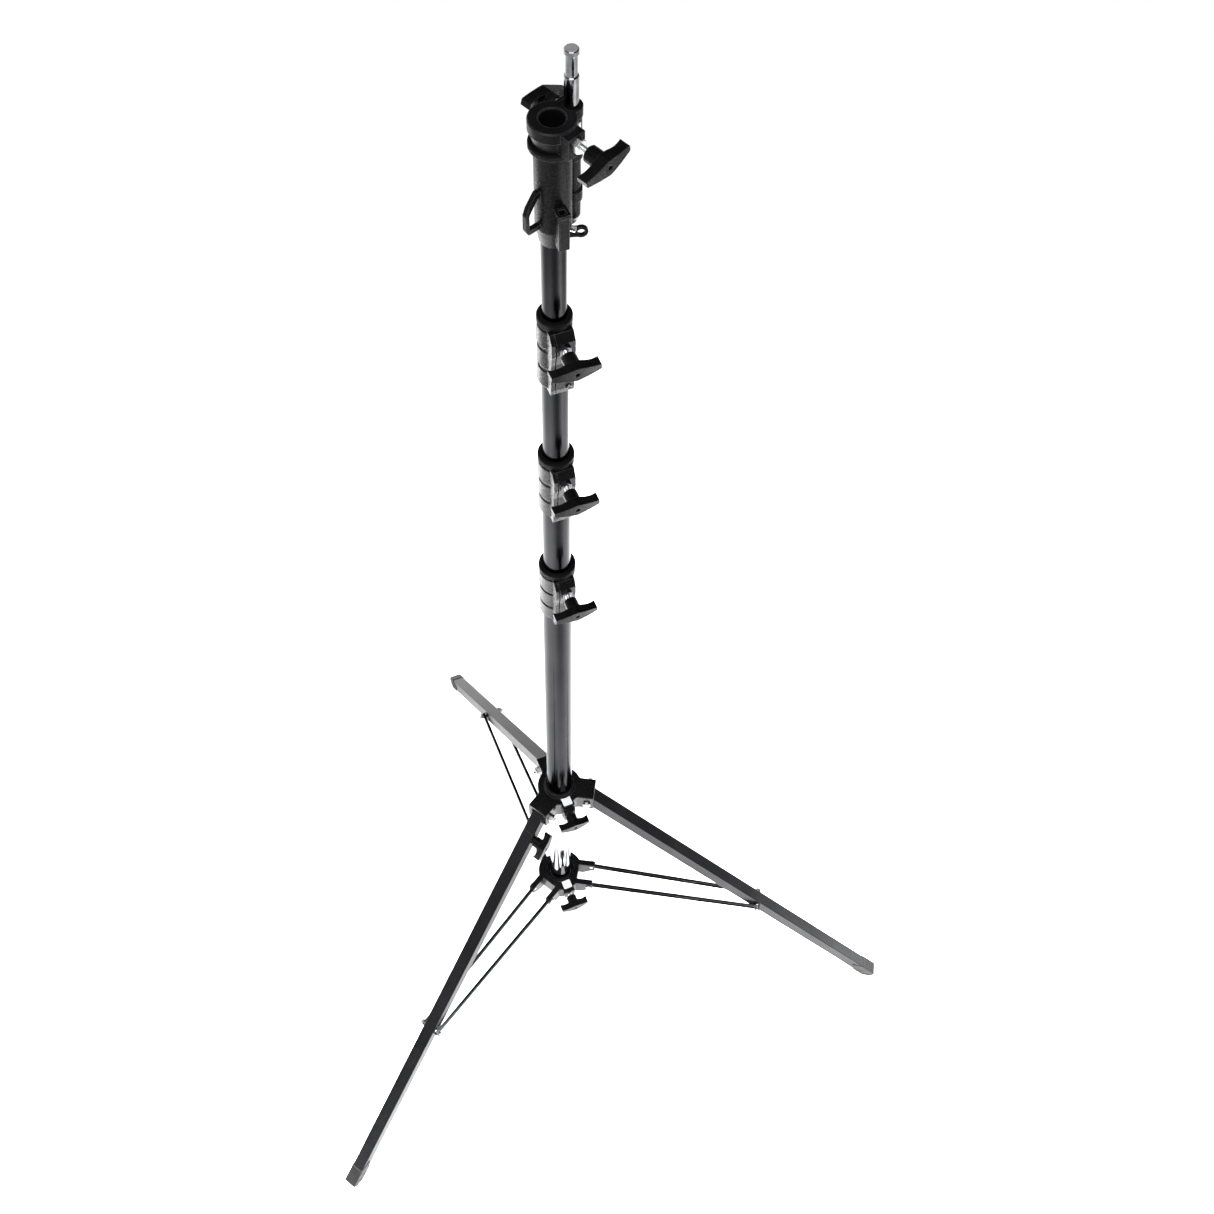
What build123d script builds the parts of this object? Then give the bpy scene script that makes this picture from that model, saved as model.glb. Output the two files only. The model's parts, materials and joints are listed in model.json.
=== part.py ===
from build123d import *
import os
from math import atan2, cos, degrees, hypot, radians, sin

# Four-section combination lighting stand.  Millimetres, +Z up, origin on the floor under the column.
# Azimuths are degrees about Z: the back leg stands at 90, the levelling leg at 210, the right leg at 330.

# ---- driving dimensions ----
BACK, LEVEL, RIGHT = 90, 210, 330
LEG_AZIMUTHS = (BACK, LEVEL, RIGHT)
FRONT = 270                     # the side of the column that carries the lock knobs
GAP = 0.3                       # clearance between faces that move past each other
OVER = 1.0                      # how far a cutting tool runs past the face it cuts

# column: outer diameter, bottom and top of each tube, base section first
TUBE_WALL = 1.5
BASE_TUBE = (45.0, 685.0, 1390.0)
RISER_TUBES = ((40.0, 853.0, 1651.0), (35.0, 1022.0, 1918.0), (30.0, 1162.0, 2190.0))
CENTRE_TUBE = (40.0, 285.0, 685.0)
BUSH_HEIGHT = 30.0
BUSH_WALL = 2.0

# collar castings: name, lower tube, riser through it, bottom, top, rubber ring height, knob reach
COLLARS = (
    ("collar_lower", 45.0, 40.0, 1321.0, 1430.0, 12.0, 72.0),
    ("collar_middle", 40.0, 35.0, 1583.0, 1691.0, 12.0, 70.0),
    ("collar_upper", 35.0, 30.0, 1851.0, 1958.0, 12.0, 66.0),
)
COLLAR_WALL = 4.5
COLLAR_SEAT = 40.0              # the lower tube ends this far below the collar's top
COLLAR_STUD_DROP = 20.0         # lock stud below the collar's top
BOSS_WIDTH = 31.0
HEX_FLATS = 15.0

# lock knobs
KNOB_SPAN = 64.0                # wing tip to wing tip on the collars and the head
BASE_KNOB_SPAN = 55.0           # on both spiders and the levelling leg
KNOB_HUB_R = 10.0
KNOB_HUB_BACK = 22.0            # hub's back face behind the middle of the wings
SHORT_HUB_BACK = 18.0
STUD_R = 4.0
HOLE_R = STUD_R + GAP

# upper spider and legs
SPIDER_TOP = 713.0
SPIDER_BOTTOM = 673.0
ARM_WIDTH = 40.0
ARM_REACH = 65.0
ARM_ROOF = 5.0
CHANNEL_INNER_R = 34.0
HUB_R = 40.0
STEP_REACH, STEP_WIDTH = 46.0, 24.0     # roof's step over the lock stud
PIVOT_R, PIVOT_Z = 53.0, 690.0
LEG_TILT = 42.2                 # degrees from vertical with the legs spread
LEG_W, LEG_T = 24.0, 25.3       # leg tube across and in its swing plane
LEG_WALL = 1.5
LEG_HEAD = 12.0                 # leg tube above its pivot
LEG_LENGTH = 905.0              # pivot to the cut end of the tube
FOOT_WALL = 0.9                 # moulded cap's thickness over the tube
CHANNEL_WIDTH = LEG_W + 1.2
SPIDER_STUD_Z = 688.0
SPIDER_KNOB_REACH = 72.0

# levelling leg
SEAM = 44.0                     # pivot to the top of the sliding tube
INNER_W, INNER_T = 20.0, 21.3
INNER_LENGTH = 330.0
LEVEL_STUD = 58.0
LEVEL_KNOB_REACH = 33.0

# lower spider and braces
LOWER_TOP = 330.0
LOWER_BOTTOM = 293.0
LOWER_HUB_R = 44.0
LUG_Y = 20.5                    # brace bar's distance from the leg's plane at the spider
LUG_WIDTH = 11.0
LUG_SLOT = 6.0
LUG_REACH = 68.0
LUG_ROOT = 36.0
LOWER_STUD_Z = 315.0
LOWER_KNOB_REACH = 75.0
BRACE_R, BRACE_Z = 61.0, 320.0
CLAMP_A = 521.0                 # leg pivot to brace bolt, along the leg
CLAMP_Y = 16.0                  # brace bar's distance from the leg's plane at the leg
BAR_HEIGHT, BAR_THICK = 11.0, 5.0
PIN_R = 3.0

# head
HEAD_TURN = -67                 # azimuth that the socket's lock knob points at
HEAD_TOP = 2264.0
HEAD_BOTTOM = 2092.0
BARREL_R = 21.0
SOCKET_R = 14.3                 # 1-1/8 inch junior socket
MOUTH = 1.2                     # chamfer round the socket's mouth
FLANGE_R = 27.0
BUMPER_LOW, BUMPER_HIGH = 2226.0, 2235.0
SOCKET_STUD_Z = 2251.0
FRONT_BOSS, REAR_BOSS = 36.0, 18.0      # faces that the two lock studs' bushes stand on
SOCKET_KNOB_REACH = 76.0
SPIGOT_Y = 28.0                 # spigot axis from the column axis
SPIGOT_R = 8.0                  # 5/8 inch baby spigot
SPIGOT_TOP = 2336.0
SPIGOT_BOTTOM = 2172.0
SPIGOT_TUBE_R = 11.5            # where the spigot's lock stud crosses it
SPIGOT_SHANK_R = 10.4           # lower down, between two swellings
SPIGOT_STUD_Z = 2250.0
SPIGOT_KNOB_REACH = 38.0
SPIGOT_HUB_BACK = 15.0
SOCKET_KNOB_ROLL = 10.0         # how far each head knob stands turned from level
SPIGOT_KNOB_ROLL = 17.0
LOOP_TURN = -94                 # the safety loop, measured from the knob's side of the head
LOOP_HALF = 3.0                 # half of the loop's thickness
EYE_TURN = 51
EYE_OUT, EYE_Z = 31.0, 2100.0
EYE_R, EYE_HOLE_R, EYE_HALF = 8.0, 4.5, 2.0
SOCKET_AZIMUTH = FRONT          # square accessory socket
SQUARE_LOW, SQUARE_TOP = 2104.0, 2156.0
SQUARE_IN, SQUARE_OUT = 24.0, 31.5      # the square hole's sides, out from the column's axis
SQUARE_HALF, SQUARE_WALL = 4.0, 2.5
SQUARE_RIM = 1.0                # how far the rim at its mouth stands out

# ---- values that follow from them ----
TILT = radians(LEG_TILT)
CLAMP_R = PIVOT_R + CLAMP_A * sin(TILT)
CLAMP_Z = PIVOT_Z - CLAMP_A * cos(TILT)
BRACE_LENGTH = hypot(CLAMP_R - BRACE_R, CLAMP_Z - BRACE_Z)
BRACE_DROP = degrees(atan2(BRACE_Z - CLAMP_Z, CLAMP_R - BRACE_R))
BRACE_SKEW = degrees(atan2(LUG_Y - CLAMP_Y, BRACE_LENGTH))
HEAD_SCREW = Rot(0, 0, 30) * Pos(0, 0, 2112)


# ---- helpers ----
def at(azimuth, x=0.0, y=0.0, z=0.0):
    """Placement measured outwards, sideways and up in the upright plane at one azimuth."""
    return Rot(0, 0, azimuth) * Pos(x, y, z)


def leg_place(azimuth):
    """Placement of a leg drawn hanging straight down from its pivot."""
    return at(azimuth, PIVOT_R, 0, PIVOT_Z) * Rot(0, -LEG_TILT, 0)


def box(x0, x1, y0, y1, z0, z1):
    centre = Pos((x0 + x1) / 2, (y0 + y1) / 2, (z0 + z1) / 2)
    return centre * Box(x1 - x0, y1 - y0, z1 - z0)


def rod(radius, z0, z1):
    return Pos(0, 0, (z0 + z1) / 2) * Cylinder(radius, z1 - z0)


def rod_x(radius, x0, x1):
    """Round bar along X."""
    return Pos((x0 + x1) / 2, 0, 0) * Rot(0, 90, 0) * Cylinder(radius, x1 - x0)


def rod_y(radius, y0, y1):
    """Round bar along Y."""
    return Pos(0, (y0 + y1) / 2, 0) * Rot(90, 0, 0) * Cylinder(radius, y1 - y0)


def ring(outer, inner, z0, z1):
    return rod(outer, z0, z1) - rod(inner, z0 - OVER, z1 + OVER)


def hexagon_x(flats, x0, x1):
    """Hexagonal bar along X."""
    bar = extrude(RegularPolygon(flats / 2, 6, major_radius=False), x1 - x0)
    return Pos(x0, 0, 0) * Rot(0, 90, 0) * bar


def hexagon_y(flats, y0, y1):
    """Hexagonal bar along Y."""
    return Rot(0, 0, 90) * hexagon_x(flats, y0, y1)


def turned(points):
    """Solid of revolution about Z from radius and height pairs, closed along the axis."""
    low, high = points[0][1], points[-1][1]
    outline = Polyline((0, low), *points, (0, high), close=True)
    return revolve(Plane.XZ * make_face(outline), Axis.Z)


def side_plate(points, y0, y1):
    """Plate with an outline given as distance out and height, thick along Y."""
    face = Plane.XZ * make_face(Polyline(*points, close=True))
    return Pos(0, y1, 0) * extrude(face, y1 - y0)


def rounded_bar(width, depth, z0, z1, corner):
    """Rectangular bar along Z with rounded long edges; depth is along X."""
    return Pos(0, 0, z0) * extrude(RectangleRounded(depth, width, corner), z1 - z0)


def write(name, solids):
    shape = Compound(children=list(solids)) if isinstance(solids, (list, tuple)) else solids
    export_step(shape, f"parts/{name}.step")


# ---- lock knobs ----
def knob_body(span, hub_back):
    """T-shaped moulded knob, stud along X, wings along Y, middle of the wings at the origin."""
    tip = span / 2
    root = 9.0                          # where the wings leave the hub
    waist = (tip + root) / 2
    plan = Line((-8, tip), (6, tip)) + ThreePointArc((6, tip), (8.5, 0), (6, -tip))
    plan += Line((6, -tip), (-8, -tip)) + ThreePointArc((-8, -tip), (-4.5, -waist), (-5.5, -root))
    plan += Line((-5.5, -root), (-5.5, root)) + ThreePointArc((-5.5, root), (-4.5, waist), (-8, tip))
    wings = extrude(make_face(plan), 11, both=True)
    front = [(tip, 3.8), (0, 10.5), (-tip, 3.8), (-tip, -3.8), (0, -10.5), (tip, -3.8)]
    wings &= extrude(Plane.YZ * make_face(Polyline(*front, close=True)), 20, both=True)
    wings = fillet(wings.edges().filter_by(Axis.X), 1.5)
    hub = rod_x(KNOB_HUB_R, -hub_back, -2)
    hub = chamfer(hub.edges().sort_by(Axis.X)[0], 1.2)
    recess = rod_x(3, 5.5, 10)
    stud_seat = rod_x(STUD_R, -hub_back - OVER, -4)
    return wings + hub - recess - stud_seat


def knob_stud(reach_back):
    """Screwed stud from inside the hub back towards the part that it clamps."""
    stud = rod_x(STUD_R, -reach_back, -4)
    return chamfer(stud.edges().sort_by(Axis.X)[0], 0.8)


def write_knob(name, place, reach_back, span=KNOB_SPAN, hub_back=KNOB_HUB_BACK):
    write(f"{name}_knob", place * knob_body(span, hub_back))
    write(f"{name}_knob_stud", place * knob_stud(reach_back))


# ---- column ----
def tube(size):
    outer, low, high = size
    return ring(outer / 2, outer / 2 - TUBE_WALL, low, high)


def guide_bush(index):
    """Nylon sleeve plugged into the bottom of a riser and running in the tube outside it."""
    outer, low, _ = RISER_TUBES[index]
    carrier = RISER_TUBES[index - 1] if index else BASE_TUBE
    turns = index == len(RISER_TUBES) - 1       # the uppermost riser turns on its bush with the head
    running = carrier[0] / 2 - TUBE_WALL - GAP
    seat = outer / 2 - TUBE_WALL - (GAP if turns else 0)
    inner = outer / 2 - TUBE_WALL - BUSH_WALL
    bush = ring(running, inner, low - BUSH_HEIGHT / 2, low) + ring(seat, inner, low, low + BUSH_HEIGHT / 2)
    return Pos(0, 0, -GAP) * bush if turns else bush


def collar_profile(radius, low, high):
    """Turned outline with three bulging bands and two grooves."""
    third = (high - low) / 3
    points = [(radius - 3, low), (radius - 1, low + 3)]
    for band in range(3):
        base = low + band * third
        points += [(radius + 0.6, base + 6), (radius - 0.4, base + third - 4)]
        if band < 2:
            points += [(radius - 1.8, base + third - 1.5), (radius - 1.8, base + third + 1.5)]
    points += [(radius - 2, high)]
    return turned(points)


def collar_casting(lower, riser, low, high):
    """Clamp collar: band-turned body with an upright boss for the lock stud, boss along X."""
    radius = lower / 2 + COLLAR_WALL
    stud_z = high - COLLAR_STUD_DROP
    half = BOSS_WIDTH / 2
    outline = [(0, low), (radius + 2, low), (radius + 3.5, low + 8), (radius + 5, stud_z - 30)]
    outline += [(radius + 8, stud_z - 12), (radius + 8, stud_z + 8), (radius + 0.5, high), (0, high)]
    boss = side_plate(outline, -half, half)
    split = box(radius + 1, radius + 12, -half + 5, -half + 6.6, low - OVER, high + OVER)
    body = collar_profile(radius, low, high) + boss - split
    body -= rod(lower / 2, low - OVER, high - COLLAR_SEAT)
    body -= rod(riser / 2 + GAP + 0.2, high - COLLAR_SEAT - OVER, high + OVER)
    shoe_seat = rod_x(5.3, 0, riser / 2 + 3.4)
    body -= Pos(0, 0, stud_z) * shoe_seat
    body -= Pos(0, 0, stud_z) * rod_x(HOLE_R, 0, radius + 20)
    body -= Pos(0, 8, low + 9) * rod_x(2, radius - 2, radius + 20)
    return body


def brake_shoe(riser, stud_z):
    """Brass disc between the stud and the riser, hollowed to the riser's curve."""
    disc = Pos(0, 0, stud_z) * rod_x(5, 0, riser / 2 + 3.2)
    return disc - rod(riser / 2 + GAP, stud_z - 20, stud_z + 20)


def collar_hardware(radius, low, stud_z):
    """Hexagonal stud bush and the small clamp screw."""
    bush = hexagon_x(HEX_FLATS, radius + 8, radius + 14) - rod_x(HOLE_R, 0, radius + 20)
    screw = rod_x(2, radius - 2, radius + 4) + rod_x(3.6, radius + 4, radius + 6)
    screw -= rod_x(1.6, radius + 4.8, radius + 7)
    return [Pos(0, 0, stud_z) * bush, Pos(0, 8, low + 9) * screw]


def rubber_ring(outer, inner, low, high):
    """Bumper ring with rounded edges."""
    body = ring(outer, inner, low, high)
    rims = [e for e in body.edges() if e.geom_type == GeomType.CIRCLE and e.radius > inner + 0.5]
    return fillet(rims, 2.6)


def write_collar(spec):
    name, lower, riser, low, high, ring_height, reach = spec
    radius = lower / 2 + COLLAR_WALL
    stud_z = high - COLLAR_STUD_DROP
    write(name, at(FRONT) * collar_casting(lower, riser, low, high))
    write(f"{name}_hardware", [at(FRONT) * s for s in collar_hardware(radius, low, stud_z)])
    write(f"{name}_shoe", at(FRONT) * brake_shoe(riser, stud_z))
    bumper = rubber_ring(radius, riser / 2 + GAP + 0.2, high, high + ring_height)
    write(f"{name}_ring", bumper)
    write_knob(name, at(FRONT, reach, 0, stud_z), reach - riser / 2 - 3.5)


def write_column():
    write("base_tube", tube(BASE_TUBE))
    write("centre_tube", tube(CENTRE_TUBE))
    for index, name in enumerate(("riser_lower", "riser_middle", "riser_upper")):
        write(f"{name}_tube", tube(RISER_TUBES[index]))
        write(f"{name}_bush", guide_bush(index))
    for spec in COLLARS:
        write_collar(spec)


# ---- head ----
def head_barrel():
    """Turned barrel with its tapered foot, neck and top flange."""
    points = [(16.5, HEAD_BOTTOM), (BARREL_R, HEAD_BOTTOM + 25), (BARREL_R, BUMPER_LOW - 3)]
    points += [(BARREL_R + 1.5, BUMPER_LOW), (BARREL_R + 1.5, BUMPER_HIGH), (23, BUMPER_HIGH + 3)]
    points += [
        (24, HEAD_TOP - 16), (FLANGE_R, HEAD_TOP - 13), (FLANGE_R, HEAD_TOP - 1), (FLANGE_R - 1, HEAD_TOP),
    ]
    return turned(points)


def spigot_tube():
    """Side tube that holds the spigot, with a web to the barrel and a rib down to its foot."""
    body = rod(SPIGOT_TUBE_R, 2200, HEAD_TOP - 1) + rod(SPIGOT_SHANK_R, 2112, 2202)
    body += rod(SPIGOT_TUBE_R + 1, HEAD_TOP - 12, HEAD_TOP)
    body += rod(SPIGOT_TUBE_R + 1, 2196, 2208)
    body += rod(SPIGOT_TUBE_R + 1, 2136, 2150)
    body = Pos(0, SPIGOT_Y, 0) * body
    body += box(-8, 8, 10, SPIGOT_Y, 2104, HEAD_TOP - 14)
    toe = turned([(6, 2100), (SPIGOT_SHANK_R, 2112)])
    return body + Pos(0, SPIGOT_Y, 0) * toe


def safety_loop():
    """D-shaped loop on the barrel for a safety cable."""
    outer = [(15, 2122), (38, 2122), (41.5, 2129), (41.5, 2151), (38, 2160), (26, 2176), (15, 2176)]
    inner = [(15, 2128), (34.5, 2128), (36.5, 2131), (36.5, 2149), (34.5, 2153), (24, 2168), (15, 2168)]
    frame = side_plate(outer, -LOOP_HALF, LOOP_HALF)
    frame = fillet(frame.edges().filter_by(Axis.Y).sort_by(Axis.X)[-4:], 3)
    return frame - side_plate(inner, -LOOP_HALF - OVER, LOOP_HALF + OVER)


def eye_lug():
    """Flat eye low on the head beside the spigot tube."""
    middle = Pos(EYE_OUT, 0, EYE_Z)
    plate = box(14, EYE_OUT, -EYE_HALF, EYE_HALF, EYE_Z - EYE_R + OVER, EYE_Z + EYE_R - OVER)
    plate += middle * rod_y(EYE_R, -EYE_HALF, EYE_HALF)
    return plate - middle * rod_y(EYE_HOLE_R, -EYE_HALF - OVER, EYE_HALF + OVER)


def accessory_socket():
    """Upright square socket on the barrel, 8 mm across the hole, with a rim round its mouth."""
    half = SQUARE_HALF + SQUARE_WALL
    reach = SQUARE_OUT + SQUARE_WALL
    body = box(14, reach, -half, half, SQUARE_LOW, SQUARE_TOP)
    body = chamfer(body.edges().filter_by(Axis.Z).sort_by(Axis.X)[-2:], 1)
    rim = half + SQUARE_RIM
    body += box(14, reach + SQUARE_RIM, -rim, rim, SQUARE_TOP - 5, SQUARE_TOP)
    hole = box(SQUARE_IN, SQUARE_OUT, -SQUARE_HALF, SQUARE_HALF, SQUARE_LOW + 4, SQUARE_TOP + OVER)
    return body - hole - head_barrel()


def head_bores(stud_z):
    """Everything cut out of the head casting."""
    seat_r = RISER_TUBES[2][0] / 2
    seat_top = RISER_TUBES[2][2]
    cuts = rod(seat_r, HEAD_BOTTOM - OVER, seat_top) + rod(SOCKET_R, seat_top - OVER, HEAD_TOP + OVER)
    cuts += turned([(SOCKET_R, HEAD_TOP - MOUTH), (SOCKET_R + MOUTH + OVER, HEAD_TOP + OVER)])
    cuts += Pos(0, SPIGOT_Y, 0) * rod(SPIGOT_R + 0.4, 2116, HEAD_TOP + OVER)
    cuts += Pos(0, 0, stud_z) * rod_x(HOLE_R, 8, 60)
    cuts += Pos(0, SPIGOT_Y, SPIGOT_STUD_Z) * rod_x(HOLE_R, -30, -2)
    cuts += HEAD_SCREW * rod_x(3.7, 20, 40)
    window = box(-20, 20, 5, 10.2, 2224, 2246)
    return cuts + Pos(0, SPIGOT_Y, 0) * Rot(0, 0, -44) * window


def head_casting():
    """The whole head casting, socket knob side along X."""
    body = head_barrel() + spigot_tube()
    body += box(16, FRONT_BOSS, -12, 12, BUMPER_HIGH + GAP, HEAD_TOP - 2)
    body += Pos(0, SPIGOT_Y, 0) * box(-REAR_BOSS, 0, -9, 9, BUMPER_HIGH + GAP, HEAD_TOP - 2)
    body += Rot(0, 0, LOOP_TURN) * safety_loop()
    body += Rot(0, 0, EYE_TURN) * eye_lug()
    return body - head_bores(SOCKET_STUD_Z)


def head_bumper():
    """Rubber ring under the neck, cut away for the spigot tube."""
    body = rubber_ring(FLANGE_R, BARREL_R + 1.5, BUMPER_LOW, BUMPER_HIGH)
    body -= Pos(0, SPIGOT_Y, 0) * rod(SPIGOT_TUBE_R, BUMPER_LOW - 5, BUMPER_HIGH + 5)
    return body - box(-8, 8, 10, 40, BUMPER_LOW - 5, BUMPER_HIGH + 5)


def head_hardware():
    """Hexagonal stud bushes of both locks and the screw beside the eye."""
    hole = rod_x(HOLE_R, -60, 60)
    front = Pos(0, 0, SOCKET_STUD_Z) * (hexagon_x(HEX_FLATS, FRONT_BOSS, FRONT_BOSS + 7) - hole)
    rear = Pos(0, SPIGOT_Y, SPIGOT_STUD_Z) * (hexagon_x(HEX_FLATS, -REAR_BOSS - 4, -REAR_BOSS) - hole)
    screw = rod_x(3.5, 20, 26) - hexagon_x(3.5, 24, 27)
    return [front, rear, HEAD_SCREW * screw]


def spigot():
    """Baby spigot: flange, groove, shaft and the slimmer shank inside the head."""
    points = [(6.8, SPIGOT_BOTTOM), (SPIGOT_R - 0.2, SPIGOT_BOTTOM + 1), (SPIGOT_R - 0.2, HEAD_TOP + 2)]
    points += [(SPIGOT_R, HEAD_TOP + 2), (SPIGOT_R, 2302), (6.5, 2303.5), (6.5, 2328.5), (SPIGOT_R, 2330)]
    points += [(SPIGOT_R, SPIGOT_TOP - 1), (SPIGOT_R - 1, SPIGOT_TOP)]
    return Pos(0, SPIGOT_Y, 0) * turned(points)


def write_head():
    turn = at(HEAD_TURN)
    write("head_casting", turn * head_casting())
    write("head_bumper", turn * head_bumper())
    write("head_hardware", [turn * s for s in head_hardware()])
    write("head_accessory_socket", at(SOCKET_AZIMUTH) * accessory_socket())
    write("spigot", turn * spigot())
    socket_back = SOCKET_KNOB_REACH - SOCKET_R - 0.5
    front = turn * Pos(SOCKET_KNOB_REACH, 0, SOCKET_STUD_Z) * Rot(SOCKET_KNOB_ROLL, 0, 0)
    write_knob("socket", front, socket_back)
    rear = turn * Pos(-SPIGOT_KNOB_REACH, SPIGOT_Y, SPIGOT_STUD_Z) * Rot(0, 0, 180)
    rear_back = SPIGOT_KNOB_REACH - SPIGOT_R - 0.4
    write_knob("spigot", rear * Rot(SPIGOT_KNOB_ROLL, 0, 0), rear_back, hub_back=SPIGOT_HUB_BACK)


# ---- upper spider ----
def near_radius(shape, radius):
    return [v for v in shape.vertices() if abs(hypot(v.X, v.Y) - radius) < 0.05]


def spider_plan():
    """Round hub with three arms, the corners between them filled with arcs."""
    plan = Circle(HUB_R)
    for azimuth in LEG_AZIMUTHS:
        plan += at(azimuth, ARM_REACH / 2) * Rectangle(ARM_REACH, ARM_WIDTH)
    return fillet(near_radius(plan, HUB_R), 7)


def spider_block():
    """Spider before it is hollowed: the plan carried down, with a step at the front for the lock."""
    body = extrude(Pos(0, 0, SPIDER_BOTTOM) * spider_plan(), SPIDER_TOP - SPIDER_BOTTOM)
    body += at(FRONT) * box(20, STEP_REACH, -STEP_WIDTH / 2, STEP_WIDTH / 2, SPIDER_BOTTOM, SPIDER_TOP)
    return fillet(body.edges().group_by(Axis.Z)[-1], 1.5)


def upper_spider():
    """Casting that joins both tubes and carries the leg pivots under a flat roof."""
    body = spider_block()
    body += turned([(25, 652), (28, 656), (30, SPIDER_BOTTOM + OVER)])
    body += turned([(29, SPIDER_TOP - OVER), (29, SPIDER_TOP + 2), (26, SPIDER_TOP + 7)])
    body += at(FRONT) * box(30, 52, -11, 11, SPIDER_BOTTOM, SPIDER_TOP - 12)
    half = CHANNEL_WIDTH / 2
    for azimuth in LEG_AZIMUTHS:
        body -= at(azimuth) * box(CHANNEL_INNER_R, 80, -half, half, 640, SPIDER_TOP - ARM_ROOF)
        body -= at(azimuth, PIVOT_R, 0, PIVOT_Z) * rod_y(HOLE_R, -30, 30)
    pocket = turned([(36, SPIDER_BOTTOM - OVER), (34, SPIDER_TOP - 9)]) - rod(31, 600, 800)
    body -= pocket & (at(FRONT) * box(10, 60, -30, 30, 600, SPIDER_STUD_Z - 12))
    body -= rod(BASE_TUBE[0] / 2, BASE_TUBE[1], 800)
    body -= rod(CENTRE_TUBE[0] / 2, 600, CENTRE_TUBE[2] + OVER)
    body -= at(FRONT, 0, 0, SPIDER_STUD_Z) * rod_x(HOLE_R, BASE_TUBE[0] / 2 - 3, 60)
    return body


def leg_bolt(azimuth):
    """Pivot bolt across one arm: domed head, shank and a nut with the bolt's end through it."""
    edge = ARM_WIDTH / 2 + GAP
    bolt = rod_y(STUD_R, -edge, edge + 12)
    bolt += rod_y(7, -edge - 5, -edge)
    bolt = chamfer(bolt.edges().sort_by(Axis.Y)[0], 2)
    bolt += hexagon_y(13, edge, edge + 7)
    return at(azimuth, PIVOT_R, 0, PIVOT_Z) * bolt


def write_upper_spider():
    write("upper_spider", upper_spider())
    write("leg_pivot_bolts", [leg_bolt(BACK), leg_bolt(RIGHT)])
    write("level_pivot_bolt", leg_bolt(LEVEL))
    stud_back = SPIDER_KNOB_REACH - BASE_TUBE[0] / 2 - 0.4
    place = at(FRONT, SPIDER_KNOB_REACH, 0, SPIDER_STUD_Z)
    write_knob("upper_spider", place, stud_back, BASE_KNOB_SPAN, SHORT_HUB_BACK)


# ---- legs ----
def leg_tube(top, corner_cut):
    """Rectangular tube hanging from the pivot; the hole across it takes the pivot bolt."""
    outer = rounded_bar(LEG_W, LEG_T, -LEG_LENGTH, top, 2)
    inner = rounded_bar(LEG_W - 2 * LEG_WALL, LEG_T - 2 * LEG_WALL, -LEG_LENGTH - OVER, top + OVER, 0.6)
    body = outer - inner
    if corner_cut:
        body -= rod_y(HOLE_R, -30, 30)
        body &= round_end(top)
    return body


def round_end(top):
    """Tool that keeps a leg's upper end inside the swing that its channel leaves."""
    reach = hypot(top, LEG_T / 2) - 1.2
    return rod_y(reach, -20, 20) + box(-20, 20, -20, 20, -LEG_LENGTH - OVER, 0)


def leg_foot(azimuth):
    """Moulded end cap with a pointed upper edge, rounded toe and a flat sole on the floor."""
    half = LEG_T / 2 + FOOT_WALL
    outline = [(-half, -886), (0, -862), (half, -886), (half, -931), (-half, -931)]
    cap = side_plate(outline, -LEG_W / 2 - FOOT_WALL, LEG_W / 2 + FOOT_WALL)
    cap = fillet(cap.edges().filter_by(Axis.Y).sort_by(Axis.Z)[:2], 8)
    cap = fillet(cap.edges().filter_by(Axis.Z), 2)
    cap -= rounded_bar(LEG_W, LEG_T, -LEG_LENGTH, -800, 2)
    cap += rounded_bar(LEG_W - 2 * LEG_WALL - 0.4, LEG_T - 2 * LEG_WALL - 0.4, -LEG_LENGTH - OVER, -890, 1)
    return leg_place(azimuth) * cap - box(-900, 900, -900, 900, -60, 0)


def level_inner_bar():
    """Hinged inner part of the levelling leg: a full-size head and a slimmer sliding tube."""
    head = rounded_bar(LEG_W, LEG_T, -SEAM, LEG_HEAD, 2) & round_end(LEG_HEAD)
    slide = rounded_bar(INNER_W, INNER_T, -INNER_LENGTH, -SEAM + OVER, 1.5)
    bore = rounded_bar(INNER_W - 4, INNER_T - 4, -INNER_LENGTH - OVER, -SEAM + 2, 1)
    return head + slide - bore - rod_y(HOLE_R, -30, 30)


def level_outer_tube():
    """Sliding part of the levelling leg with the welded boss for its lock stud."""
    body = leg_tube(-SEAM - GAP, False)
    stud_place = Pos(0, 0, -LEVEL_STUD)
    body += stud_place * rod_y(8, LEG_W / 2 - 0.5, LEG_W / 2 + 2)
    return body - stud_place * rod_y(HOLE_R, 5, 30)


def write_legs():
    for name, azimuth in (("leg_back", BACK), ("leg_right", RIGHT)):
        write(f"{name}_tube", leg_place(azimuth) * leg_tube(LEG_HEAD, True))
        write(f"{name}_foot", leg_foot(azimuth))
    place = leg_place(LEVEL)
    write("leg_level_inner_bar", place * level_inner_bar())
    write("leg_level_tube", place * level_outer_tube())
    write("leg_level_foot", leg_foot(LEVEL))
    knob = place * Pos(0, LEVEL_KNOB_REACH, -LEVEL_STUD) * Rot(0, 0, 90) * Rot(90, 0, 0)
    write_knob("level", knob, LEVEL_KNOB_REACH - INNER_W / 2 - 0.5, BASE_KNOB_SPAN, SHORT_HUB_BACK)


# ---- lower spider and braces ----
def brace_lug(side):
    """One channel-shaped lug, open below and at its outer end."""
    y = side * LUG_Y
    half = LUG_WIDTH / 2
    outline = [(20, LOWER_BOTTOM), (20, LOWER_TOP), (LUG_REACH, LOWER_TOP), (LUG_REACH, 311)]
    outline += [(60, 306), (44, LOWER_BOTTOM)]
    lug = side_plate(outline, y - half, y + half)
    lug = fillet(lug.edges().filter_by(Axis.Y).sort_by(Axis.X)[-2:], 3)
    return lug


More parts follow.
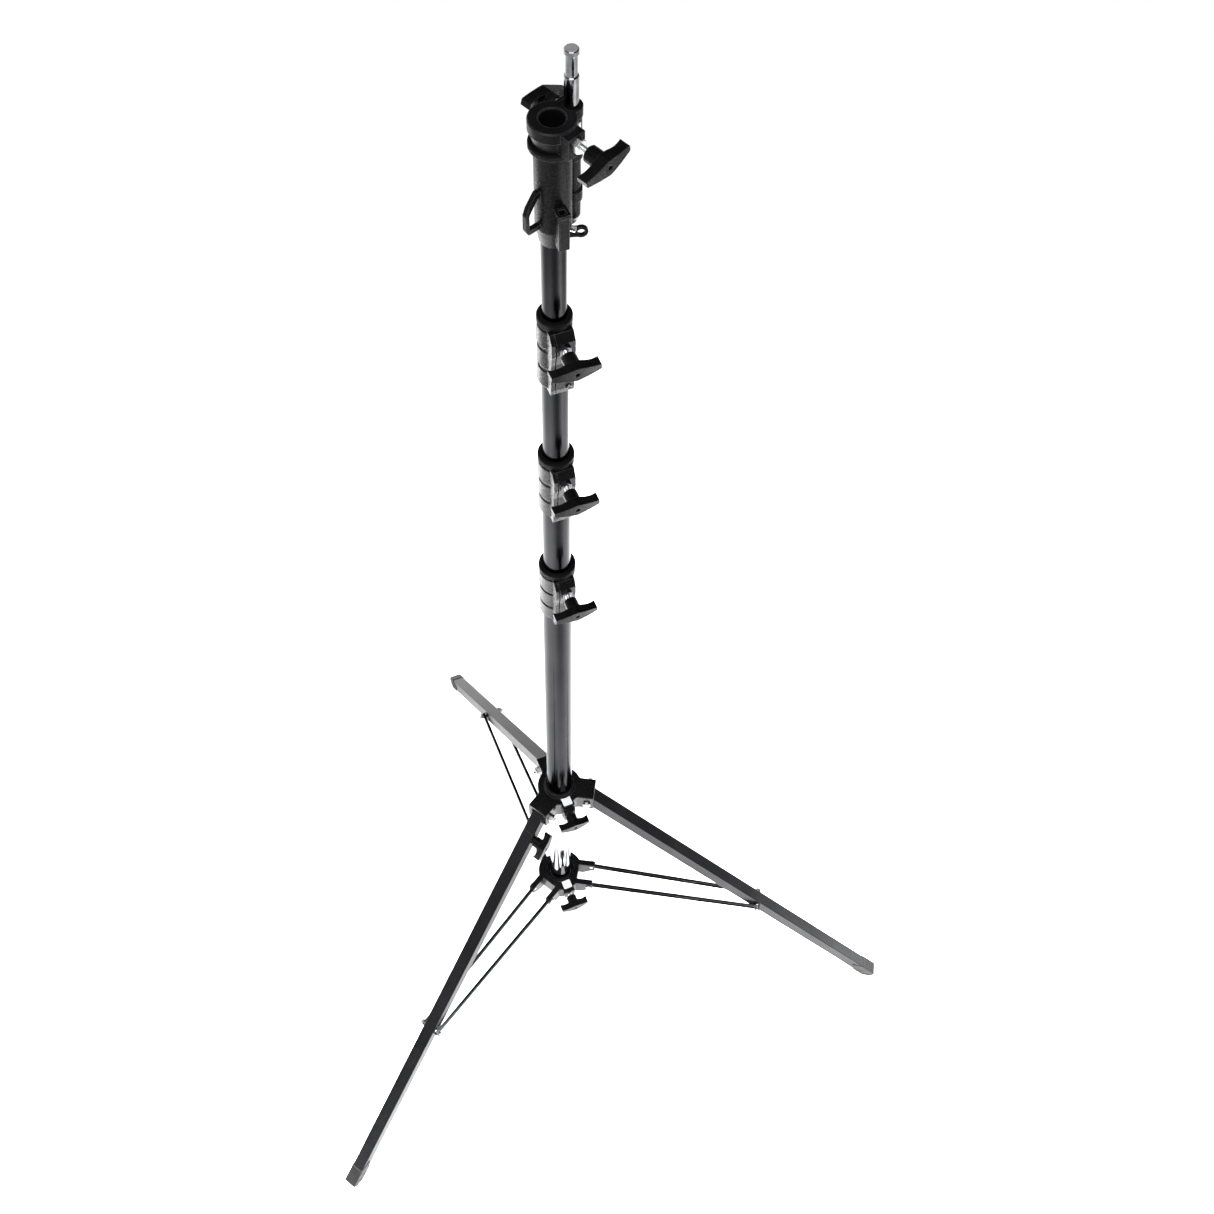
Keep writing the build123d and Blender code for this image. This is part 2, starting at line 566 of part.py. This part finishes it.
def lug_cuts(side):
    y = side * LUG_Y
    slot = box(54, 80, y - LUG_SLOT / 2, y + LUG_SLOT / 2, 280, LOWER_TOP - 4)
    return slot + Pos(BRACE_R, 0, BRACE_Z) * rod_y(PIN_R + GAP, y - 8, y + 8)


def lower_spider():
    """Sliding casting with two lugs per leg and a dished top round the centre tube."""
    body = rod(LOWER_HUB_R, LOWER_BOTTOM, LOWER_TOP)
    body = fillet(body.edges().group_by(Axis.Z)[-1], 2)
    body += at(FRONT) * box(36, 51, -11, 11, LOWER_STUD_Z - 11, LOWER_STUD_Z + 11)
    for azimuth in LEG_AZIMUTHS:
        body += at(azimuth) * (brace_lug(1) + brace_lug(-1))
        gap = LUG_Y - LUG_WIDTH / 2
        body -= at(azimuth) * box(LUG_ROOT, 90, -gap, gap, 280, 340)
        body -= at(azimuth) * (lug_cuts(1) + lug_cuts(-1))
    body -= turned([(24, LOWER_TOP - 6), (28, LOWER_TOP + OVER)])
    body -= rod(CENTRE_TUBE[0] / 2 + GAP + 0.1, 280, 340)
    body -= at(FRONT, 0, 0, LOWER_STUD_Z) * rod_x(HOLE_R, 15, 60)
    return body


def brace_pins(azimuth):
    """The two short pins that a leg's brace bars turn on."""
    inner = LUG_Y - LUG_WIDTH / 2 + GAP
    outer = LUG_Y + LUG_WIDTH / 2
    pin = rod_y(PIN_R, inner, outer + 2) + rod_y(5, outer + GAP, outer + 3.5)
    place = at(azimuth, BRACE_R, 0, BRACE_Z)
    return [place * pin, place * Rot(0, 0, 180) * pin]


def brace_place(azimuth):
    return at(azimuth, BRACE_R, 0, BRACE_Z) * Rot(0, BRACE_DROP, 0)


def brace_bar(azimuth, side):
    """Flat bar with rounded ends, drawing in slightly from the lug to the leg."""
    outline = SlotCenterToCenter(BRACE_LENGTH, BAR_HEIGHT)
    flat = extrude(Plane.XZ * Pos(BRACE_LENGTH / 2, 0) * outline, BAR_THICK / 2, both=True)
    flat -= rod_y(PIN_R + GAP, -5, 5)
    flat -= Pos(BRACE_LENGTH, 0, 0) * rod_y(PIN_R + 0.1, -5, 5)
    return brace_place(azimuth) * Pos(0, side * LUG_Y, 0) * Rot(0, 0, -side * BRACE_SKEW) * flat


def brace_bolt(azimuth, side):
    """Bolt end beside the leg with its spacer, shank and nut."""
    inner = LEG_W / 2 + GAP
    bar_side = CLAMP_Y - BAR_THICK / 2 - 0.1
    bolt = rod_y(PIN_R, inner, CLAMP_Y + 10)
    bolt += rod_y(5.5, inner, bar_side)
    bolt += hexagon_y(9, CLAMP_Y + BAR_THICK / 2 + 0.1, CLAMP_Y + 6.5)
    turn = Rot(0, 0, 0 if side > 0 else 180)
    return brace_place(azimuth) * Pos(BRACE_LENGTH, 0, 0) * turn * bolt


def write_lower_spider():
    write("lower_spider", lower_spider())
    write("brace_pivot_pins", brace_pins(BACK) + brace_pins(RIGHT))
    write("brace_level_pins", brace_pins(LEVEL))
    stud_back = LOWER_KNOB_REACH - CENTRE_TUBE[0] / 2 - 0.4
    place = at(FRONT, LOWER_KNOB_REACH, 0, LOWER_STUD_Z)
    write_knob("lower_spider", place, stud_back, BASE_KNOB_SPAN, SHORT_HUB_BACK)
    for name, azimuth in (("back", BACK), ("right", RIGHT), ("level", LEVEL)):
        write(f"brace_{name}_bars", [brace_bar(azimuth, side) for side in (1, -1)])
        write(f"brace_{name}_bolts", [brace_bolt(azimuth, side) for side in (1, -1)])


os.makedirs("parts", exist_ok=True)
write_column()
write_head()
write_upper_spider()
write_legs()
write_lower_spider()
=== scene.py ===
import json
from math import cos, radians, sin, tau

import bmesh
import bpy
from mathutils import Matrix, Vector


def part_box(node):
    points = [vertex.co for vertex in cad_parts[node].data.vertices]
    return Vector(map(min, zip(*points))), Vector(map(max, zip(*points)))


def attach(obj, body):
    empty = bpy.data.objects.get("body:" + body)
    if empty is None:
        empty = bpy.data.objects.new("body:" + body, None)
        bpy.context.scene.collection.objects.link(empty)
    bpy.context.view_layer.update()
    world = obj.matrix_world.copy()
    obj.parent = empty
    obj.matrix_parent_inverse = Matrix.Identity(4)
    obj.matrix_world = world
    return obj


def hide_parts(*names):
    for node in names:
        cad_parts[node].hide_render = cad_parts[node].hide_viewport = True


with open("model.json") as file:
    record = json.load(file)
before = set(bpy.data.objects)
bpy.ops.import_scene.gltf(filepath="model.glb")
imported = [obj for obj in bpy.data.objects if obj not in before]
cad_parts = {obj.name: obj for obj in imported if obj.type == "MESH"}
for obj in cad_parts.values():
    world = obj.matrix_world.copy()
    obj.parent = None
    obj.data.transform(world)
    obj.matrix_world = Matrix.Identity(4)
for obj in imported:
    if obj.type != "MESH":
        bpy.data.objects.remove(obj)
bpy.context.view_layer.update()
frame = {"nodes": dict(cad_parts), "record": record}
NODES = frame["nodes"]
UP = Vector((0, 0, 1))


# ---- node helpers ----
RANGE_SOCKETS = ("From Min", "From Max", "To Min", "To Max")
NOISE_LOW, NOISE_HIGH = 0.3, 0.7        # most of a noise texture's values lie between these


class Shader:
    """A small builder for one node material around a Principled shader."""

    def __init__(self, name):
        self.material = bpy.data.materials.new(name)
        self.material.use_nodes = True
        self.tree = self.material.node_tree
        self.surface = self.tree.nodes["Principled BSDF"]
        self.place = self.add("ShaderNodeTexCoord").outputs["Object"]

    def add(self, kind, **settings):
        node = self.tree.nodes.new(kind)
        for key, value in settings.items():
            setattr(node, key, value)
        return node

    def link(self, source, target):
        self.tree.links.new(source, target)

    def stretched(self, scale):
        """The object's own coordinates, in metres, scaled along each axis."""
        mapping = self.add("ShaderNodeMapping")
        mapping.inputs["Scale"].default_value = scale
        self.link(self.place, mapping.inputs["Vector"])
        return mapping.outputs["Vector"]

    def noise(self, scale, detail, rough=0.55, stretch=(1, 1, 1)):
        node = self.add("ShaderNodeTexNoise")
        node.inputs["Scale"].default_value = scale
        node.inputs["Detail"].default_value = detail
        node.inputs["Roughness"].default_value = rough
        self.link(self.stretched(stretch), node.inputs["Vector"])
        return node.outputs["Fac"]

    def span(self, value, low, high, out_low=0, out_high=1):
        """The part of a value from low to high, carried over to out_low to out_high."""
        node = self.add("ShaderNodeMapRange")
        for key, number in zip(RANGE_SOCKETS, (low, high, out_low, out_high)):
            node.inputs[key].default_value = number
        self.link(value, node.inputs["Value"])
        return node.outputs["Result"]

    def over(self, noise, out_low=0, out_high=1):
        """A noise carried over to a range of its own."""
        return self.span(noise, NOISE_LOW, NOISE_HIGH, out_low, out_high)

    def combine(self, operation, first, second):
        node = self.add("ShaderNodeMath", operation=operation, use_clamp=True)
        for socket, value in zip(node.inputs, (first, second)):
            if isinstance(value, (int, float)):
                socket.default_value = value
            else:
                self.link(value, socket)
        return node.outputs["Value"]

    def scaled(self, value, factor):
        return self.combine("MULTIPLY", value, factor)

    def blend(self, amount, first, second):
        """Colour between two; each is a colour or the output of an earlier blend."""
        node = self.add("ShaderNodeMix", data_type="RGBA")
        self.link(amount, node.inputs["Factor"])
        colour_a, colour_b = [s for s in node.inputs if s.type == "RGBA"]
        for socket, value in ((colour_a, first), (colour_b, second)):
            if isinstance(value, (tuple, list)):
                socket.default_value = (*value, 1)
            else:
                self.link(value, socket)
        return [s for s in node.outputs if s.type == "RGBA"][0]

    def edges(self, radius, low=0.004, high=0.06):
        """White along outer and inner edges, from the bevelled normal."""
        bevel = self.add("ShaderNodeBevel", samples=6)
        bevel.inputs["Radius"].default_value = radius
        plain = self.add("ShaderNodeNewGeometry").outputs["Normal"]
        dot = self.add("ShaderNodeVectorMath", operation="DOT_PRODUCT")
        self.link(bevel.outputs["Normal"], dot.inputs[0])
        self.link(plain, dot.inputs[1])
        return self.span(dot.outputs["Value"], 1 - low, 1 - high)

    def bump(self, height, strength, distance, round_edges=0.0):
        node = self.add("ShaderNodeBump")
        node.inputs["Strength"].default_value = strength
        node.inputs["Distance"].default_value = distance
        self.link(height, node.inputs["Height"])
        if round_edges:
            bevel = self.add("ShaderNodeBevel", samples=4)
            bevel.inputs["Radius"].default_value = round_edges
            self.link(bevel.outputs["Normal"], node.inputs["Normal"])
        self.link(node.outputs["Normal"], self.surface.inputs["Normal"])

    def colour(self, value):
        self.link(value, self.surface.inputs["Base Color"])

    def roughness(self, value):
        self.link(value, self.surface.inputs["Roughness"])

    def fixed(self, **numbers):
        for key, number in numbers.items():
            self.surface.inputs[key.replace("_", " ")].default_value = number

    def edge_tint(self, grey):
        """How much of a metal's reflection is left where the surface is seen at a slant."""
        self.surface.inputs["Specular Tint"].default_value = (grey, grey, grey, 1)


# ---- materials ----
SCUFF_GREY = (0.05, 0.05, 0.053)
RUBBED_EDGE = (0.16, 0.16, 0.17)
# lighter tone painted on the upward faces of plated parts: a painted highlight
WORN_COAT = (0.10, 0.10, 0.105)
TOP_HIGHLIGHT_TONE = (0.80, 0.80, 0.81)
PLASTIC_GLOSS = 0.07
RUBBER_GLOSS = 0.08


def anodised(name, dark, light, rough, slant):
    """Anodised tubes and painted bars: fine upright streaks, faint scuffs and rubbed edges."""
    s = Shader(name)
    streaks = s.noise(scale=900, detail=5, rough=0.6, stretch=(1.0, 1.0, 0.02))
    clouds = s.noise(scale=9, detail=3)
    scuffs = s.span(s.noise(scale=160, detail=6, rough=0.75, stretch=(1, 1, 0.25)), 0.66, 0.74)
    tint = s.blend(s.over(clouds), dark, light)
    tint = s.blend(s.scaled(scuffs, 0.2), tint, SCUFF_GREY)
    s.colour(s.blend(s.scaled(s.edges(radius=0.0006), 0.5), tint, RUBBED_EDGE))
    s.roughness(s.combine("ADD", s.over(streaks, *rough), s.scaled(scuffs, 0.12)))
    s.bump(streaks, strength=0.12, distance=0.0001, round_edges=0.0005)
    s.fixed(Metallic=1.0)
    s.edge_tint(slant)
    return s.material


def cast_coat(name, gloss):
    """Fine textured powder coat on the castings, thinner and greyer along the edges."""
    s = Shader(name)
    grain = s.noise(scale=1500, detail=3, rough=0.6)
    pits = s.noise(scale=420, detail=4, rough=0.65)
    clouds = s.noise(scale=24, detail=3)
    tint = s.blend(s.over(clouds), (0.003, 0.003, 0.0033), (0.007, 0.007, 0.0075))
    worn = s.span(s.noise(scale=70, detail=5), 0.35, 0.65, 0.15, 0.8)
    s.colour(s.blend(s.combine("MULTIPLY", s.edges(radius=0.0012), worn), tint, WORN_COAT))
    s.roughness(s.over(pits, 0.2, 0.36))
    relief = s.combine("ADD", s.scaled(grain, 0.5), s.scaled(pits, 0.5))
    s.bump(relief, strength=0.14, distance=0.0004, round_edges=0.0009)
    s.fixed(Specular_IOR_Level=gloss)
    return s.material


def moulded_plastic(name, dark, light, rough, grain=0.2):
    """Glass-filled nylon mouldings with a faint orange peel, and edges painted lighter for handling wear
    and a painted sheen.
    """
    s = Shader(name)
    peel = s.noise(scale=700, detail=4, rough=0.6)
    clouds = s.noise(scale=40, detail=3)
    tint = s.blend(s.over(clouds), dark, light)
    # lighter edges: handling wear plus a painted sheen
    handled_wear_and_sheen = tuple(c * 2 + 0.02 for c in light)
    s.colour(s.blend(s.scaled(s.edges(radius=0.0014), 0.5), tint, handled_wear_and_sheen))
    s.roughness(s.over(s.noise(scale=90, detail=5), *rough))
    s.bump(peel, strength=grain, distance=0.0003, round_edges=0.001)
    s.fixed(Specular_IOR_Level=PLASTIC_GLOSS)
    return s.material


def rubber():
    """Matt bumper rubber with dust in its pores."""
    s = Shader("rubber_matt")
    pores = s.noise(scale=1100, detail=4, rough=0.7)
    dust = s.span(s.noise(scale=60, detail=6, rough=0.7), 0.5, 0.75, 0, 0.5)
    s.colour(s.blend(dust, (0.002, 0.002, 0.002), (0.010, 0.010, 0.0095)))
    s.roughness(s.over(pores, 0.55, 0.8))
    s.bump(pores, strength=0.3, distance=0.0002, round_edges=0.0008)
    s.fixed(Specular_IOR_Level=RUBBER_GLOSS)
    return s.material


def plated(name, dark, light, rough, turned=False):
    """Plated or plain metal with machining marks, light smears, and rougher upward faces painted lighter
    as a painted highlight.
    """
    s = Shader(name)
    marks = s.noise(scale=2600, detail=3, rough=0.5, stretch=(0.08, 0.08, 1) if turned else (1, 1, 1))
    smears = s.noise(scale=35, detail=5, rough=0.6)
    facing = s.add("ShaderNodeSeparateXYZ")
    s.link(s.add("ShaderNodeNewGeometry").outputs["Normal"], facing.inputs["Vector"])
    # faces pointing up: a painted highlight in the colour, and rougher
    top_highlight_mask = s.span(facing.outputs["Z"], 0.9, 0.98)
    tint = s.blend(s.span(smears, 0.35, 0.7), light, dark)
    s.colour(s.blend(top_highlight_mask, tint, TOP_HIGHLIGHT_TONE))
    polish = s.combine("ADD", s.over(smears, *rough), s.span(marks, 0.4, 0.8, 0, 0.06))
    s.roughness(s.combine("ADD", polish, s.scaled(top_highlight_mask, 0.4)))
    s.bump(marks, strength=0.06, distance=0.00005, round_edges=0.0005)
    s.fixed(Metallic=1.0)
    return s.material


def label_face():
    """Plain white label foil with a faint fibre and no lettering."""
    s = Shader("label_white")
    fibre = s.noise(scale=500, detail=5, rough=0.6)
    s.colour(s.blend(s.over(fibre), (0.86, 0.87, 0.88), (0.93, 0.94, 0.95)))
    s.roughness(s.over(fibre, 0.35, 0.5))
    s.bump(fibre, strength=0.05, distance=0.0001)
    return s.material


def make_materials():
    tube_tones = (0.010, 0.010, 0.0108), (0.016, 0.016, 0.0172)
    leg_tones = (0.014, 0.014, 0.015), (0.022, 0.022, 0.0236)
    brace_tones = (0.020, 0.020, 0.0215), (0.030, 0.030, 0.032)
    chrome_tones = (0.13, 0.134, 0.142), (0.30, 0.30, 0.313)
    knob_tones = (0.002, 0.002, 0.002), (0.005, 0.005, 0.0052)
    foot_tones = (0.004, 0.004, 0.004), (0.008, 0.008, 0.008)
    nylon_tones = (0.62, 0.60, 0.55), (0.74, 0.72, 0.67)
    zinc_tones = (0.55, 0.56, 0.58), (0.78, 0.78, 0.80)
    dark_steel_tones = (0.05, 0.05, 0.052), (0.10, 0.10, 0.11)
    brass_tones = (0.60, 0.42, 0.17), (0.78, 0.58, 0.27)
    return {
        "tube_black": anodised("tube_anodised", *tube_tones, rough=(0.12, 0.2), slant=0.55),
        "leg_black": anodised("leg_anodised", *leg_tones, rough=(0.2, 0.3), slant=0.6),
        "brace_steel": anodised("brace_paint", *brace_tones, rough=(0.2, 0.32), slant=0.35),
        "casting_black": cast_coat("cast_black_coat", gloss=0.09),
        # less glossy copy of the casting coat, painted shade to darken the head
        "head_shaded_black": cast_coat("head_shaded_coat", gloss=0.04),
        "rubber_black": rubber(),
        "knob_black": moulded_plastic("knob_moulding", *knob_tones, rough=(0.22, 0.36)),
        "foot_plastic": moulded_plastic("foot_moulding", *foot_tones, rough=(0.4, 0.58), grain=0.3),
        "nylon": moulded_plastic("nylon_natural", *nylon_tones, rough=(0.4, 0.55)),
        "chrome": plated("chrome_plate", *chrome_tones, rough=(0.03, 0.09), turned=True),
        "stud_steel": plated("bright_zinc", *zinc_tones, rough=(0.16, 0.3)),
        "blackened_steel": plated("blackened", *dark_steel_tones, rough=(0.28, 0.42)),
        "brass": plated("brass_plain", *brass_tones, rough=(0.2, 0.36)),
        "label": label_face(),
    }


# head pieces take the less glossy copy of the casting coat: painted shade
SHADED_COPY_FINISH = {"head_casting": "head_shaded_black", "head_accessory_socket": "head_shaded_black"}


def dress_nodes(materials):
    """Gives every carried-over CAD piece the finish its slot asks for, and the head pieces a less glossy
    copy of the casting coat as painted shade.
    """
    for row in frame["record"]["subparts"]:
        finish = SHADED_COPY_FINISH.get(row["node"], row["material_slot"])
        for place in NODES[row["node"]].material_slots:
            place.material = materials[finish]


# ---- added pieces ----
SMOOTH_BELOW = 30               # degrees between faces; sharper edges stay sharp


def mesh_object(name, bm, material):
    mesh = bpy.data.meshes.new(name)
    bmesh.ops.recalc_face_normals(bm, faces=bm.faces)
    bm.to_mesh(mesh)
    bm.free()
    for face in mesh.polygons:
        face.use_smooth = True
    mesh.set_sharp_from_angle(angle=radians(SMOOTH_BELOW))
    obj = bpy.data.objects.new(name, mesh)
    bpy.context.scene.collection.objects.link(obj)
    obj.data.materials.append(material)
    return obj


LABEL_SIDE = 0.017
LABEL_THICK = 0.0005
LABEL_CORNER = 0.001
LABEL_REACH = 0.0355
UPPER_COLLAR_RISE = 0.007       # the upper spider's collar round the tube stands this far above its roof


def label(name, body, spider, materials):
    """Blank square label lying on a spider's roof, on the knob side."""
    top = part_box(spider)[1].z - (UPPER_COLLAR_RISE if spider == "upper_spider" else 0)
    bm = bmesh.new()
    bmesh.ops.create_cube(bm, size=1)
    bmesh.ops.scale(bm, vec=(LABEL_SIDE, LABEL_SIDE, LABEL_THICK), verts=bm.verts)
    corners = [e for e in bm.edges if abs(e.verts[0].co.z - e.verts[1].co.z) > LABEL_THICK / 2]
    bmesh.ops.bevel(bm, geom=corners, offset=LABEL_CORNER, segments=3, affect="EDGES")
    bmesh.ops.translate(bm, vec=(0, -LABEL_REACH, top + LABEL_THICK / 2), verts=bm.verts)
    obj = mesh_object(name, bm, materials["label"])
    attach(obj, body)


KNOBS = (
    "collar_lower", "collar_middle", "collar_upper", "socket",
    "spigot", "upper_spider", "lower_spider", "level",
)
THREAD_PITCH = 0.0015
THREAD_CREST, THREAD_ROOT = 0.0040, 0.0033
THREAD_SIDES = 24
THREAD_ROWS = 6                 # rings of points in one turn of thread
THREAD_END = 0.0008             # chamfer at both ends
THREAD_TIP = 0.8                # radius at the very ends, as a share of the root's


def thread_radius(along, step, lead):
    """Radius of the helical thread at one point; lead runs from 0 at an end to 1 past the chamfer."""
    phase = (along / THREAD_PITCH - step / THREAD_SIDES) % 1
    crest = THREAD_ROOT + (THREAD_CREST - THREAD_ROOT) * abs(2 * phase - 1)
    if lead >= 1:
        return crest
    return min(crest, THREAD_ROOT * (THREAD_TIP + (1 - THREAD_TIP) * lead))


def threaded_stud(knob, materials):
    """Lock stud with its helical thread cut, in place of the plain CAD stud."""
    joint = next(j for j in frame["record"]["behaviour"]["joints"] if j["child"] == f"knob_{knob}")
    middle, axis = Vector(joint["pos_m"]), Vector(joint["axis"]).normalized()
    node = NODES[f"{knob}_knob_stud"]
    reach = [(node.matrix_world @ v.co - middle).dot(axis) for v in node.data.vertices]
    low, high = min(reach), max(reach)
    across = axis.orthogonal().normalized()
    upright = axis.cross(across)
    bm = bmesh.new()
    rows = round((high - low) / THREAD_PITCH * THREAD_ROWS)
    rings = []
    for row in range(rows + 1):
        along = low + (high - low) * row / rows
        lead = min(along - low, high - along) / THREAD_END
        ring = []
        for step in range(THREAD_SIDES):
            angle = tau * step / THREAD_SIDES
            outward = across * cos(angle) + upright * sin(angle)
            ring.append(bm.verts.new(middle + axis * along + outward * thread_radius(along, step, lead)))
        rings.append(ring)
    for first, second in zip(rings, rings[1:]):
        for step in range(THREAD_SIDES):
            after = (step + 1) % THREAD_SIDES
            bm.faces.new((first[step], first[after], second[after], second[step]))
    bm.faces.new(rings[0])
    bm.faces.new(rings[-1])
    stud = mesh_object(f"{knob}_stud_thread", bm, materials["stud_steel"])
    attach(stud, f"knob_{knob}")
    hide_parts(node.name)


# ---- camera, floor and light ----
CAMERA_PLACE = Vector((-0.4848, -1.2524, 3.434))
CAMERA_HEADING = 65.64          # azimuth of the optical axis, degrees
CAMERA_DOWN = 57.56
CAMERA_ROLL = 2.08
CAMERA_NEAR, CAMERA_FAR = 0.05, 60
FRAME_WIDTH = 1214
FOCAL_IN_FRAME = 1650           # focal length in units of the frame's picture elements
SENSOR = 36.0
FLOOR_RADIUS = 14
FLOOR_SIDES = 96
FLOOR_DROP = 0.0005
FLOOR_GLOSS = 0.1


def make_camera():
    data = bpy.data.cameras.new("camera")
    data.sensor_width = SENSOR
    data.lens = FOCAL_IN_FRAME / FRAME_WIDTH * SENSOR
    data.clip_start, data.clip_end = CAMERA_NEAR, CAMERA_FAR
    heading, down, roll = (radians(a) for a in (CAMERA_HEADING, CAMERA_DOWN, CAMERA_ROLL))
    ahead = Vector((cos(heading) * cos(down), sin(heading) * cos(down), -sin(down)))
    right = ahead.cross(UP).normalized()
    up = right.cross(ahead)
    right, up = cos(roll) * right + sin(roll) * up, cos(roll) * up - sin(roll) * right
    turn = Matrix((right, up, -ahead)).transposed().to_4x4()
    camera = bpy.data.objects.new("camera", data)
    camera.matrix_world = Matrix.Translation(CAMERA_PLACE) @ turn
    bpy.context.scene.collection.objects.link(camera)
    bpy.context.scene.camera = camera


def make_floor():
    """A wide pale disc under the feet."""
    bm = bmesh.new()
    bmesh.ops.create_circle(bm, cap_ends=True, segments=FLOOR_SIDES, radius=FLOOR_RADIUS)
    s = Shader("floor_pale")
    grain = s.noise(scale=3, detail=3)
    s.colour(s.blend(s.over(grain), (0.90, 0.90, 0.90), (0.92, 0.92, 0.92)))
    s.roughness(s.over(grain, 0.85, 0.95))
    s.fixed(Specular_IOR_Level=FLOOR_GLOSS)
    floor = mesh_object("floor", bm, s.material)
    floor.location.z = -FLOOR_DROP


SUN_STRENGTH = 3.0
SUN_WIDTH = 60
SUN_LEAN = 0.35                 # run of the light away from the camera for each unit it falls
BOX_SPREAD = 100
SIDE_BOX_REACH = 1.15           # the tubes mirror the floor about this far out at either side
SIDE_BOX_HEIGHT = 1.1
SIDE_BOX_SIZE = (0.7, 3.0)
SIDE_BOX_POWER = 110
FRONT_POOL = Vector((0, -0.42, 0))      # the side faces of legs and braces mirror the floor here
FRONT_BOX_HEIGHT = 0.45
FRONT_BOX_SIZE = (1.3, 0.5)
FRONT_BOX_POWER = 11

# upward or sideways part of the direction where each change begins and ends,
# and the strengths there
HORIZON_TO_CEILING = (0.18, 0.55, 0.7, 0.14)
LEFT_TO_RIGHT = (-0.6, 0.5, 1.9, 0.3)


def soft_box(name, below, height, size, power):
    """Rectangular lamp over one place on the floor, shining straight down."""
    data = bpy.data.lights.new(name, "AREA")
    data.shape = "RECTANGLE"
    data.size, data.size_y = size
    data.energy = power
    data.spread = radians(BOX_SPREAD)
    lamp = bpy.data.objects.new(name, data)
    lamp.location = below + UP * height
    lamp.rotation_mode = "QUATERNION"
    lamp.rotation_quaternion = (-UP).to_track_quat("-Z", "Y")
    bpy.context.scene.collection.objects.link(lamp)


def studio_world():
    """Cyclorama round the horizon, bright on the left and dim on the right, under a dim ceiling."""
    world = bpy.data.worlds.new("studio")
    world.use_nodes = True
    tree = world.node_tree
    place = tree.nodes.new("ShaderNodeTexCoord")
    split = tree.nodes.new("ShaderNodeSeparateXYZ")
    tree.links.new(place.outputs["Generated"], split.inputs["Vector"])
    product = tree.nodes.new("ShaderNodeMath")
    product.operation = "MULTIPLY"
    for factor, axis, numbers in zip(product.inputs, "ZX", (HORIZON_TO_CEILING, LEFT_TO_RIGHT)):
        ramp = tree.nodes.new("ShaderNodeMapRange")
        ramp.interpolation_type = "SMOOTHSTEP"
        for key, number in zip(RANGE_SOCKETS, numbers):
            ramp.inputs[key].default_value = number
        tree.links.new(split.outputs[axis], ramp.inputs["Value"])
        tree.links.new(ramp.outputs["Result"], factor)
    background = tree.nodes["Background"]
    background.inputs["Color"].default_value = (1, 1, 1, 1)
    tree.links.new(product.outputs["Value"], background.inputs["Strength"])
    return world


def make_light():
    """One wide source above the camera, and bright floor beside and in front of the stand."""
    scene = bpy.context.scene
    scene.world = studio_world()
    scene.view_settings.view_transform = "Standard"
    heading = radians(CAMERA_HEADING)
    side = Vector((sin(heading), -cos(heading), 0))
    ahead = Vector((cos(heading), sin(heading), 0))
    sun = bpy.data.lights.new("key", "SUN")
    sun.energy = SUN_STRENGTH
    sun.angle = radians(SUN_WIDTH)
    lamp = bpy.data.objects.new("key", sun)
    lamp.rotation_mode = "QUATERNION"
    lamp.rotation_quaternion = (ahead * SUN_LEAN - UP).to_track_quat("-Z", "Y")
    scene.collection.objects.link(lamp)
    for name, reach in (("left", -SIDE_BOX_REACH), ("right", SIDE_BOX_REACH)):
        soft_box(f"floor_{name}", side * reach, SIDE_BOX_HEIGHT, SIDE_BOX_SIZE, SIDE_BOX_POWER)
    soft_box("floor_front", FRONT_POOL, FRONT_BOX_HEIGHT, FRONT_BOX_SIZE, FRONT_BOX_POWER)


materials = make_materials()
dress_nodes(materials)
label("label_upper", "root", "upper_spider", materials)
label("label_lower", "lower_spider", "lower_spider", materials)
for knob in KNOBS:
    threaded_stud(knob, materials)
make_camera()
make_floor()
make_light()
